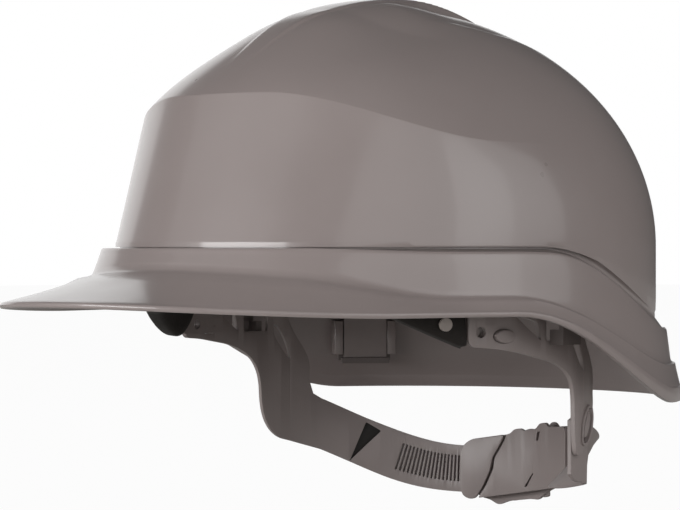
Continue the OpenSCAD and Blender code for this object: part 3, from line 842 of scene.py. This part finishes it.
@dataclass
class HeadRing:
    """Line of the headband: a superellipse in front and a true circle behind. Millimetres.

    A flat piece is drawn with its thickness along X, its way round the ring along Y, from the
    wearer's side to the rear, and its height along Z.
    """

    half_w: float = 83.0
    front: float = 98.0
    power: float = 2.2
    thick: float = 1.8
    gap: float = 0.4
    nape_mid: float = -62.5
    climb: float = 0.148
    buckle_x: float = -4.5
    low_x: float = -30.0
    level_x: float = 27.0
    rise_run: float = 47.0
    rise: float = 20.0
    free_turn: float = 48.0
    free_span: float = 21.0

    def spot(self, way: float) -> tuple[Vector, Vector]:
        """Place and outward direction on the left side.

        Args:
            way: Millimetres round the ring from the side, positive to the rear.

        Returns:
            The place and the direction.
        """
        if way >= 0:
            turn = way / self.half_w
            out = Vector((math.cos(turn), math.sin(turn), 0))
            return out * self.half_w, out
        x = self.x_at(way)
        slope = self.x_at(way + 0.5) - self.x_at(way - 0.5)
        return Vector((x, way, 0)), Vector((1, -slope, 0)).normalized()

    def x_at(self, y: float) -> float:
        """Half width of the ring.

        Args:
            y: Place along Y.

        Returns:
            The half width there.
        """
        if y >= 0:
            return math.sqrt(max(0.0, self.half_w ** 2 - y * y))
        return self.half_w * max(0.0, 1 - (-y / self.front) ** self.power) ** (1 / self.power)

    def dished(self, points: Sequence[Pair]) -> list[Pair]:
        """Turns places along Y into the way round the ring."""
        return [(self.half_w * math.asin(y / self.half_w) if y > 0 else y, z) for y, z in points]

    def nape_z(self, x: float) -> float:
        """Height of the nape strap's middle line.

        Args:
            x: Place across the back.

        Returns:
            The height there.
        """
        right = max(0.0, min(1.0, (self.low_x - x) / self.rise_run))
        held = max(self.low_x, min(self.level_x, x))
        return self.nape_mid + self.climb * (held - self.buckle_x) + self.rise * right ** 2.4

    def bend(self, bm: bmesh.types.BMesh, side: Side) -> bmesh.types.BMesh:
        """Bends a flat piece round one side of the ring.

        Args:
            bm: Flat piece.
            side: Side that it goes to.

        Returns:
            The same mesh.
        """
        for vert in bm.verts:
            place, out = self.spot(vert.co.y)
            place = place + out * vert.co.x
            vert.co = Vector((side.value * place.x, place.y, vert.co.z))
        return bm

    def wrap(self, bm: bmesh.types.BMesh, lean: float, tuck: float) -> None:
        """Wraps the nape strap, drawn by its way across the back and its height over the nape line.

        Args:
            bm: Flat piece, with its place across the back along Y.
            lean: How far the strap leans out at its free stretch, per millimetre of height.
            tuck: How far it is drawn in there.
        """
        for vert in bm.verts:
            turn = vert.co.y / self.half_w
            x = self.half_w * math.sin(turn)
            off = (math.degrees(turn) - self.free_turn) / self.free_span
            free = max(0.0, 1 - off * off) ** 1.2
            r = self.half_w + vert.co.x + free * (lean * vert.co.z - tuck)
            vert.co = Vector((r * math.sin(turn), r * math.cos(turn), self.nape_z(x) + vert.co.z))

    def across(self, x: float) -> float:
        """Way round the ring from the middle of the back, at a place along X."""
        return self.half_w * math.asin(max(-1.0, min(1.0, x / self.half_w)))


@dataclass
class SidePlates:
    """Side plates of the headband, the right one with its ladder strap. Millimetres."""

    LENS: ClassVar[list[Pair]] = [(20.2, -48), (23.6, -47.8), (27, -43.6), (28.2, -38.6), (27.4, -35.4),
                                  (24.8, -35), (22, -38.4), (20.5, -43)]

    ring: HeadRing
    front_y: float = -38.0
    low_z: float = -11.5
    top_z: float = 14.0
    arm_y: float = 10.0
    arm_w: float = 21.0
    nape_h: float = 19.0
    hole_r: float = 2.0
    slots: int = 17
    slot_pitch: float = 1.58
    slot_h: float = 10.8
    slot_w: float = 0.85
    floor: float = 0.5
    first_slot: float = 69.5
    pocket_way: float = 52.9

    def front_edge(self, side: Side) -> list[Pair]:
        """Corners down the front and along the lower edge to the arm.

        Args:
            side: Side of the wearer.

        Returns:
            Corners as (y, z).
        """
        low = self.low_z
        start = [
            (self.front_y, self.top_z), (self.front_y, low + 3), (self.front_y + 0.6, low + 1.2),
            (self.front_y + 2.2, low + 0.2), (self.front_y + 4.5, low), (self.front_y + 12, low - 0.5),
            (self.front_y + 21, low - 1.9),
        ]
        if side is Side.LEFT:
            return start + [(-5.5, -15.9), (1, -17.4), (5, -18.8), (9.4, -21), (12.6, -23.8), (14.2, -27.4),
                            (14.8, -32)]
        return start + [(-10.5, -14.4), (-5, -16.2), (-0.7, -18.2), (2.6, -20.6), (4.8, -23.4),
                        (6.4, -26.8), (7.3, -31), (7.6, -37)]

    def rear_edge(self) -> list[Pair]:
        """Corners up the rear of the arm to the top."""
        b = self.arm_y + self.arm_w
        return [(b - 1.2, -29.4), (b - 0.8, -25), (b - 1.4, -20.8), (b - 3.6, -16.5), (b - 7.4, -11),
                (b - 10.4, -5), (b - 12.4, 2), (b - 14, self.top_z)]

    def openings(self) -> list[list[Pair]]:
        """Outlines of the holes that both plates have.

        Returns:
            The stud hole, the peg hole, two slots and the sickle slot.
        """
        peg = oval(-23.1, -7.5, 4.7, 2.6)
        wedge = rounded([(-18.5, 0.2), (-7, -2.4), (-4.6, -9.6), (-10, -6)], 1.0)
        fork = rounded([(-2, -9.6), (10.7, -9.6), (10.7, -2), (-2, -2)], 0.8)
        sickle = rounded([(13.6, -6.2), (16.2, -8.2), (18.6, -12), (20.8, -17), (21.8, -22),
                          (17, -16), (14, -11.4)], 1.6)
        return [disc(-33, -6, self.hole_r), peg, wedge, fork, sickle]

    def rim(self, outline: Sequence[Pair], width: float, base: float, thick: float) -> bmesh.types.BMesh:
        """Raised rim round a hole.

        Args:
            outline: Outline of the hole.
            width: Width of the rim.
            base: Lower face along X.
            thick: Height of the rim.

        Returns:
            The rim as a flat piece.
        """
        cy = sum(y for y, _ in outline) / len(outline)
        cz = sum(z for _, z in outline) / len(outline)
        outer = []
        for y, z in outline:
            away = Vector((y - cy, z - cz))
            grown = away + away.normalized() * width
            outer.append((cy + grown.x, cz + grown.y))
        return slab(outer, thick, [outline], 0.2, base)

    def left(self) -> None:
        """Builds the left plate, whose arm narrows to a round tip."""
        tip = [
            (14.9, -38), (15.1, -43), (15.4, -47), (15.9, -50.4), (17, -52.2), (19, -52.6), (20.9, -51.6),
            (22.6, -49.6), (25.4, -46.4), (27.8, -43.2), (29.4, -38.4), (30.2, -33.6),
        ]
        lens = rounded(self.LENS, 2.0)
        outline = self.ring.dished(rounded(self.front_edge(Side.LEFT) + tip + self.rear_edge(), 3))
        holes = [self.ring.dished(hole) for hole in self.openings() + [lens]]
        t = self.ring.thick
        parts = [slab(outline, t, holes, 0.4, -t, 2.5)]
        parts.append(self.rim(holes[-1], 1.1, -0.1, 0.9))
        plate = join([self.ring.bend(part, Side.LEFT) for part in parts])
        finish_piece(plate, "plate_left", HARNESS_FINISH, Body.HEADBAND, ["side_plate_left"])

    def strap_edges(self) -> tuple[list[Pair], list[Pair]]:
        """Edges of the ladder strap.

        Returns:
            Lower and upper corners, by the way round the ring and height.
        """
        lower, upper = [], []
        start, end = 36.0, self.ring.half_w * math.radians(90 + 16.8)
        for i in range(41):
            way = start + (end - start) * i / 40
            wide = self.nape_h / 2 + 1.0 * (1 - fade(way, 62, 96))
            lower.append((way, self.middle(way) - wide))
            upper.append((way, self.middle(way) + wide))
        return lower, upper

    def middle(self, way: float) -> float:
        """Height of the ladder strap's middle line, by the way round the ring from the right side."""
        return self.ring.nape_z(-self.ring.half_w * math.cos(way / self.ring.half_w))

    def on_strap(self, way: float, outline: Sequence[Pair]) -> list[Pair]:
        """Sets an outline square on the ladder strap.

        Args:
            way: Where its middle goes.
            outline: Corners along the strap and across it.

        Returns:
            The corners on the flat piece.
        """
        slope = (self.middle(way + 1) - self.middle(way - 1)) / 2
        return [(way + u - slope * v, self.middle(way) + v + slope * u) for u, v in outline]

    def right(self) -> None:
        """Builds the right plate, whose arm turns into the ladder strap."""
        lower, upper = self.strap_edges()
        heel = [(8.4, -42), (10, -46.4), (12.8, -50.4), (16.6, -53.2), (22, -54.6)]
        outline = rounded(self.ring.dished(self.front_edge(Side.RIGHT) + heel), 3, 4, False)
        outline += lower + upper[::-1]
        outline += rounded(self.ring.dished([(31.6, -35.4)] + self.rear_edge()), 3, 4, False)
        through = [self.ring.dished(hole) for hole in self.openings()]
        pockets = []
        w, h = self.slot_w / 2, self.slot_h / 2
        slot = rounded([(-w, -h), (w, -h), (w, h), (-w, h)], 0.35, 2)
        for i in range(self.slots):
            pockets.append(self.on_strap(self.first_slot + i * self.slot_pitch, slot))
        pocket = rounded([(-0.8, 7.4), (6.0, 6.6), (-0.9, -8.6)], 0.6)
        pockets.append(self.on_strap(self.pocket_way, pocket))
        t = self.ring.thick
        # Painted shade: a thin black sheet on the pocket's floor darkens it as the pocket's shade would
        pocket_shade_sheet = slab(pockets[-1], 0.25, (), 0.05, -self.floor - 0.3)
        finish_piece(self.ring.bend(pocket_shade_sheet, Side.RIGHT), "painted_pocket_shade", POCKET_SHADE_FINISH, Body.HEADBAND)
        parts = [
            slab(outline, t - self.floor, through + pockets, 0.35, -t, 2.5),
            slab(outline, self.floor, through, 0.15, -self.floor, 2.5),
        ]
        plate = join([self.ring.bend(part, Side.RIGHT) for part in parts])
        finish_piece(plate, "plate_right_with_ladder", HARNESS_FINISH, Body.HEADBAND,
                     ["side_plate_right"])

    def build(self) -> None:
        """Builds both plates."""
        self.left()
        self.right()


@dataclass
class NapeStrap:
    """Left half of the nape strap, inside the arm. Millimetres."""

    ring: HeadRing
    height: float = 19.0
    inner_x: float = -18.0
    end_turn: float = 78.8
    flare: float = 10.5
    lift: float = 5.0
    lean: float = 0.95
    tuck: float = 9.4

    def build(self) -> None:
        """Builds the strap, whose pointed end passes inside the arm."""
        inner = self.ring.across(self.inner_x)
        lower, upper = [], []
        last = self.ring.half_w * math.radians(self.end_turn)
        for i in range(49):
            way = inner + (last - inner) * i / 48
            turn = math.degrees(way / self.ring.half_w)
            flare = self.flare * fade(turn, 48, 79) ** 1.3
            lift = self.lift * fade(turn, 54, 78)
            tip = fade(way, last - 4, last)
            lower.append((way, -self.height / 2 + lift + 3 * tip))
            upper.append((way, self.height / 2 + flare - 1.6 * tip))
        t = self.ring.thick
        strap = slab(lower + upper[::-1], t, (), 0.4, -2 * t - self.ring.gap, 2.5)
        self.ring.wrap(strap, self.lean, self.tuck)
        finish_piece(strap, "strap_left", HARNESS_FINISH, Body.HEADBAND, ["nape_strap_left"])
        lens = rounded([(21.5, -46.2), (23.6, -45.8), (25.9, -42.6), (26.8, -38.8), (26.2, -36.8),
                        (24.9, -36.8), (23, -39.6), (21.8, -43)], 1.6)
        button = slab(self.ring.dished(lens), t + self.ring.gap + 0.5, (), 0.5, -t - self.ring.gap)
        self.ring.bend(button, Side.LEFT)
        finish_piece(button, "strap_button", HARNESS_FINISH, Body.HEADBAND, ["nape_hook_left"])


@dataclass
class Buckle:
    """Buckle on the ladder strap: cover, inner plate and loop. Millimetres."""

    ring: HeadRing
    width: float = 56.0
    height: float = 24.0
    wall: float = 1.6

    def drawn(self, points: Sequence[Pair]) -> list[Pair]:
        """Turns places from the buckle's middle into the way across the back."""
        return [(self.ring.across(self.ring.buckle_x + x), z) for x, z in points]

    def put(self, bm: bmesh.types.BMesh) -> bmesh.types.BMesh:
        """Wraps a piece, climbing in a straight line with the strap.

        Args:
            bm: Flat piece.

        Returns:
            The same mesh.
        """
        for vert in bm.verts:
            turn = vert.co.y / self.ring.half_w
            x = self.ring.half_w * math.sin(turn)
            r = self.ring.half_w + vert.co.x
            z = self.ring.nape_mid + self.ring.climb * (x - self.ring.buckle_x) + vert.co.z
            vert.co = Vector((r * math.sin(turn), r * math.cos(turn), z))
        return bm

    def cover(self) -> None:
        """Builds the outer cover with its mounds, grips and flanges."""
        w, h, gap = self.width / 2, self.height / 2, self.ring.gap
        outline = rounded([
            (-w + 4, -h + 4), (-w + 4.6, -h + 1.4), (-w + 7, -h - 0.4), (-w + 10, -h - 1.4),
            (-w + 14, -h - 4.2), (-w + 19, -h - 3), (2, -h - 3.2), (6, -h - 4), (9, -h - 2),
            (13, -h - 0.4), (w, -h + 2.4),
            (w, h - 1), (18, h - 0.2), (15.5, h + 2.4), (13.6, h + 2.8), (10, h + 0.5), (5, h + 0.4),
            (1, h + 1.5), (-3, h + 0.4), (-w + 8, h), (-w + 5, h - 1.4), (-w + 4, h - 4),
        ], 1.8)
        parts = [slab(self.drawn(outline), self.wall, (), 0.4, gap, 2.5)]
        deep = 2 * self.ring.thick + self.ring.gap + 2 * gap + 2 * self.wall
        for low in (-h, h - self.wall):
            flange = [(-w + 8, low), (w - 2, low), (w - 2, low + self.wall), (-w + 8, low + self.wall)]
            parts.append(slab(self.drawn(flange), deep - 2 * self.wall + 0.3, (), 0.35,
                              gap - deep + 2 * self.wall, 2.5))
        for i in range(5):
            x = -13 + 5 * i
            corners = [(x, -h - 3.2), (x + 2.4, -h - 3), (x + 2.2, -h + 0.6), (x + 0.2, -h + 0.4)]
            grip = rounded(corners, 0.8)
            parts.append(slab(self.drawn(grip), 2.6, (), 0.5, gap + self.wall - 0.4))
        whole = join([self.put(part) for part in parts])
        finish_piece(whole, "buckle_cover", HARNESS_FINISH, Body.BUCKLE, ["buckle_frame"])

    def inner_pieces(self) -> None:
        """Builds the inner plate and the loop beside its slanted edge."""
        w = self.width / 2
        h = self.height / 2 + 0.2
        base = -(2 * self.ring.thick + self.ring.gap) - self.ring.gap - self.wall
        notch_high = rounded([(11, h - 4.5), (12.6, h - 4.5), (13.6, h - 1), (12, h - 1)], 0.5)
        notch_low = rounded([(4, -h + 2), (5.6, -h + 2), (9.6, -h + 7), (8.8, -h + 7)], 0.5)
        outline = rounded([
            (-20, -h), (w + 3, -h), (w + 4, -h + 3), (w + 4, h - 4), (w + 3, h - 1), (19, h + 0.3),
            (17, h + 2.2), (13.4, h + 2.2), (11, h + 0.3), (4, h + 0.2), (1.6, h + 1.5), (-1.6, h + 1.5),
            (-4, h), (-5.5, h), (-8, h - 4), (-12, h - 9), (-12.6, -1), (-16, -h + 5),
        ], 1.0)
        notches = [self.drawn(notch_high), self.drawn(notch_low)]
        plate = self.put(slab(self.drawn(outline), self.wall, notches, 0.45, base, 2.5))
        finish_piece(plate, "buckle_inner_plate", HARNESS_FINISH, Body.BUCKLE, ["buckle_plate"])
        outline = rounded([
            (-w, -h + 4.5), (-w + 1.2, -h + 1.6), (-w + 4, -h), (-21.2, -h), (-17.4, -h + 5), (-14, -1),
            (-13.4, h - 9), (-9.4, h - 4), (-6.9, h), (-w + 5, h), (-w + 1.6, h - 1.6), (-w, h - 5),
        ], 2.0)
        loop = self.put(slab(self.drawn(outline), self.wall, (), 0.45, base, 2.5))
        finish_piece(loop, "buckle_ladder_loop", HARNESS_FINISH, Body.BUCKLE, ["buckle_loop"])

    def build(self) -> None:
        """Builds every piece of the buckle."""
        self.cover()
        self.inner_pieces()


@dataclass
class HangerPeg:
    """Oval peg that hangs the side plate on the forehead band. Millimetres."""

    ring: HeadRing
    middle: Pair = (-22.9, -7.5)
    length: float = 8.8
    height: float = 4.9
    proud: float = 1.5

    def build(self, side: Side) -> None:
        """Builds the peg of one side, with softened edges.

        Args:
            side: Side of the wearer.
        """
        y, z = self.middle
        deep = 2 * self.ring.thick + self.ring.gap
        peg = slab(oval(y, z, self.length / 2, self.height / 2), deep + self.proud, (), 0.7, -deep)
        self.ring.bend(peg, side)
        name = side.name.lower()
        finish_piece(peg, f"peg_{name}", HARNESS_FINISH, Body.HEADBAND, [f"hanger_peg_{name}"])


@dataclass
class Sweatband:
    """Soft band folded round the forehead band. Millimetres.

    Attributes:
        TAUT: Height of its folded lower edge along Y on the wearer's left.
        SLACK: The same on the wearer's right, where it sags.
        TOP: Height of its top.
    """

    TAUT: ClassVar[list[Pair]] = [
        (-98.0, 6.5), (-78.0, 6.2), (-66.0, 0.8), (-60.0, -2.3), (-50.0, -6.8), (-38.5, -11.4),
    ]
    SLACK: ClassVar[list[Pair]] = [
        (-98.0, 4.6), (-88.0, 3.0), (-75.0, 0.0), (-66.0, -4.0), (-60.0, -6.8), (-53.0, -9.6),
        (-48.0, -9.8), (-43.5, -6.5), (-40.0, -2.5), (-38.5, -0.5),
    ]
    TOP: ClassVar[list[Pair]] = [(-98.0, 33.0), (-66.0, 29.0), (-50.0, 20.0), (-38.5, 12.5)]

    ring: HeadRing
    end_y: float = -38.5
    outer_t: float = 1.5
    inner_t: float = 3.2

    def section(self, y: float, squeeze: float, sag: float) -> list[Pair]:
        """Section of the folded band.

        Args:
            y: Place along Y.
            squeeze: Share of its full puff, less towards its ends.
            sag: Share of the slack fold on the wearer's right.

        Returns:
            Closed outline as (depth, height).
        """
        taut = along(self.TAUT, y)
        low = taut + (along(self.SLACK, y) - taut) * sag
        top = along(self.TOP, y)
        out = -0.2
        slot_out = out - self.outer_t
        slot_in = -2 * self.ring.thick - self.ring.gap - 0.3
        inner = slot_in - self.inner_t
        puff = 0.5 * squeeze
        return [
            (slot_out, top), (out - 0.5, top + 0.2), (out - 0.1, top - 0.8),
            (out + puff * 0.2, (top + low) / 2),
            (out - 0.1, low + 1.2), (out - 0.7, low + 0.1), (slot_out - 0.6, low - 0.4),
            (slot_in - 0.2, low - 0.6), (slot_in - 1.6, low - 0.7), (inner + 0.5, low),
            (inner, low + 1.4), (inner - puff, (top + low) / 2), (inner, top - 1.4),
            (inner + 0.6, top), (slot_in - 0.8, top + 0.3), (slot_in, top),
            (slot_in, low + 3.2), (slot_out, low + 3.2),
        ]

    def build(self) -> None:
        """Builds the band by running its section round the brow."""
        stations = []
        count = 72
        for i in range(count + 1):
            share = i / count
            turn = math.pi * (1.0 + share)
            y = -self.ring.front * abs(math.sin(turn)) ** 0.9
            stations.append((min(self.end_y, y), -1 if share < 0.5 else 1, share))
        stations = [st for st in stations if st[0] < self.end_y or st[2] in (0, 1)]
        rings = []
        for k, (y, sign, share) in enumerate(stations):
            place, out = self.ring.spot(max(y, -self.ring.front + 0.02))
            far = min(k, len(stations) - 1 - k)
            points = []
            for depth, z in self.section(y, min(1.0, far / 4), fade(share, 0.62, 0.3)):
                spot = place + out * depth
                points.append(Vector((sign * spot.x, spot.y, z)))
            rings.append(points)
        bm = bmesh.new()
        for ring in tube(bm, rings):
            cap = bmesh.ops.contextual_create(bm, geom=ring)["faces"]
            bmesh.ops.triangulate(bm, faces=cap)
        band = finish_piece(bm, "foam_sweatband", FOAM_FINISH, Body.HEADBAND,
                            ["sweatband"], 70)
        soften = band.modifiers.new("soft", "SUBSURF")
        soften.levels = 1
        soften.render_levels = 1


@dataclass
class CrownPad:
    """Round foam pad under the middle of the cradle. Millimetres."""

    top_z: float = 82.7
    radius: float = 18.0
    thick: float = 3.2

    def build(self) -> None:
        """Builds the pad as a crowned disc."""
        low = self.top_z - self.thick
        edge = self.radius
        profile = [(2.0, self.top_z), (edge - 3, self.top_z), (edge - 0.8, self.top_z - 0.5),
                   (edge, self.top_z - 1.6), (edge - 0.8, low + 0.5), (edge - 4, low + 0.1), (8.0, low),
                   (2.0, low)]
        columns = 48
        bm = bmesh.new()
        rings = [[polar(r, 360 * i / columns, z) for i in range(columns)] for r, z in profile]
        for ring in tube(bm, rings):
            bmesh.ops.contextual_create(bm, geom=ring)
        pad = finish_piece(bm, "foam_crown_pad", FOAM_FINISH, Body.SHELL, ["crown_pad"], 60)


@dataclass
class Studio:
    """Camera, lamps, floor and backdrop."""

    azimuth: float = 46.0
    distance: float = 1.15
    aim_right: float = -0.019
    aim_z: float = 0.0215
    eye_z: float = 0.025
    lens: float = 158.3
    floor_z: float = -0.0885
    floor_white: float = 0.96
    world_low: float = 0.2
    world_high: float = 0.52
    dim_room: float = 0.06
    bright_turn: float = 18.0
    bright_room: float = 1.15
    bright_from: float = 0.86
    bright_full: float = 0.91
    key_from: float = -0.35

    def camera(self) -> None:
        """Places the camera at the photograph's angle."""
        turn = math.radians(self.azimuth)
        right = Vector((math.cos(turn), math.sin(turn), 0))
        back = Vector((math.sin(turn), -math.cos(turn), 0))
        eye = right * self.aim_right + back * self.distance
        eye.z = self.eye_z
        aim = right * self.aim_right
        aim.z = self.aim_z
        data = bpy.data.cameras.new("camera")
        data.lens = self.lens
        data.sensor_width = 36
        data.clip_start = 0.05
        data.clip_end = 50
        made = bpy.data.objects.new("camera", data)
        made.location = eye
        made.rotation_euler = (aim - eye).to_track_quat("-Z", "Y").to_euler()
        bpy.context.scene.collection.objects.link(made)
        bpy.context.scene.camera = made

    def lamp(self, name: str, side: float, height: float, size: Pair, watts: float, away: float = 1.2,
             aim: Triple = (0, 0, 0.04)) -> None:
        """Adds a soft box that looks at the helmet.

        Args:
            name: Name of the lamp.
            side: Turn from the camera in degrees, to its right.
            height: Elevation in degrees.
            size: Width and height in metres.
            watts: Power.
            away: Distance in metres.
            aim: Point that it looks at.
        """
        turn = math.radians(self.azimuth + side)
        up = math.radians(height)
        spot = Vector((math.sin(turn) * math.cos(up), -math.cos(turn) * math.cos(up), math.sin(up))) * away
        data = bpy.data.lights.new(name, "AREA")
        data.shape = "RECTANGLE"
        data.size, data.size_y = size
        data.energy = watts
        made = bpy.data.objects.new(name, data)
        made.location = spot + Vector(aim)
        made.rotation_euler = (-spot).to_track_quat("-Z", "Y").to_euler()
        bpy.context.scene.collection.objects.link(made)

    def floor(self) -> None:
        """Adds a pale floor that runs on into the backdrop."""
        bm = bmesh.new()
        bmesh.ops.create_grid(bm, x_segments=1, y_segments=1, size=6.0)
        bmesh.ops.translate(bm, verts=bm.verts[:], vec=(0, 0, self.floor_z))
        mesh = bpy.data.meshes.new("floor")
        bm.to_mesh(mesh)
        bm.free()
        floor = bpy.data.objects.new("floor", mesh)
        bpy.context.scene.collection.objects.link(floor)
        pale = bpy.data.materials.new("paper_matt_white")
        pale.use_nodes = True
        tree = pale.node_tree
        tree.nodes.clear()
        path = node(tree, "LightPath")
        seen = node(tree, "Math", {"operation": "MULTIPLY"}, {"Value": path.outputs["Is Camera Ray"]})
        seen.inputs[1].default_value = self.floor_white
        matt = node(tree, "BsdfDiffuse", {"Color": linear("DCDAD7")})
        white = node(tree, "Emission", {"Color": (1, 1, 1, 1), "Strength": 1.0})
        both = mix(tree, seen.outputs["Value"], matt.outputs["BSDF"], white.outputs["Emission"])
        node(tree, "OutputMaterial", {}, {"Surface": both})
        mesh.materials.append(pale)
        floor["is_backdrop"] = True

    def world(self) -> None:
        """Adds the world: white to the camera, soft light from the front, a bright wall behind."""
        world = bpy.data.worlds.new("studio")
        world.use_nodes = True
        tree = world.node_tree
        tree.nodes.clear()
        path = node(tree, "LightPath")
        way = node(tree, "TexCoord").outputs["Generated"]
        turn = math.radians(self.azimuth + self.bright_turn)
        behind = facing(tree, way, (-math.sin(turn), math.cos(turn), 0))
        shine = node(tree, "MapRange", {
            "interpolation_type": "SMOOTHSTEP", "From Min": self.bright_from, "From Max": self.bright_full,
            "To Min": self.dim_room, "To Max": self.bright_room,
        }, {"Value": behind})
        lead = math.radians(self.azimuth)
        front = facing(tree, way, (math.sin(lead), -math.cos(lead), 0.15))
        soft = node(tree, "MapRange", {
            "interpolation_type": "SMOOTHSTEP", "From Min": self.key_from, "From Max": 1.0,
            "To Min": self.world_low, "To Max": self.world_high,
        }, {"Value": front})
        glow = node(tree, "Background", {"Color": (1, 0.99, 0.98, 1)}, {"Strength": soft.outputs["Result"]})
        room = node(tree, "Background", {"Color": (1, 1, 1, 1)}, {"Strength": shine.outputs["Result"]})
        white = node(tree, "Background", {"Color": (1, 1, 1, 1), "Strength": 1.0})
        mirrored = path.outputs["Is Glossy Ray"]
        lit = mix(tree, mirrored, glow.outputs["Background"], room.outputs["Background"])
        both = mix(tree, path.outputs["Is Camera Ray"], lit, white.outputs["Background"])
        node(tree, "OutputWorld", {}, {"Surface": both})
        bpy.context.scene.world = world

    def build(self) -> None:
        """Sets up the whole studio."""
        bpy.context.scene.view_settings.view_transform = "Standard"
        self.camera()
        self.lamp("left_box", -75, 20, (2.0, 2.0), 4.4, 2.0)
        self.lamp("low_box", 28, 18, (2.6, 0.9), 7, 1.7, (0, 0, -0.03))
        self.lamp("right_box", 64, 16, (1.6, 0.9), 5, 1.8)
        self.lamp("front_box", -58, 8, (1.4, 0.5), 17, 1.7, (0, 0, -0.03))
        self.floor()
        self.world()


def main(box: list[list[float]]) -> None:
    """Builds every piece in order.

    Args:
        box: Lowest and highest corner of the CAD model. Not used.
    """
    Studio().build()
    MouldedShell().build()
    ring = HeadRing()
    SidePlates(ring).build()
    NapeStrap(ring).build()
    for side in Side:
        HangerPeg(ring).build(side)
    Buckle(ring).build()
    Sweatband(ring).build()
    CrownPad().build()
    for name in ("crown_cradle", "forehead_band", "buckle_catch", "catch_pin"):
        dress_node(name, HARNESS_FINISH)
    for place in ("front", "side", "rear"):
        for side in Side:
            dress_node(f"clip_{place}_{side.name.lower()}", CLIP_FINISH)
    for side in Side:
        dress_node(f"sweatband_stud_{side.name.lower()}", STUD_FINISH)


if __name__ == "__main__":
    main([[float(v) for v in corner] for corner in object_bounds()])
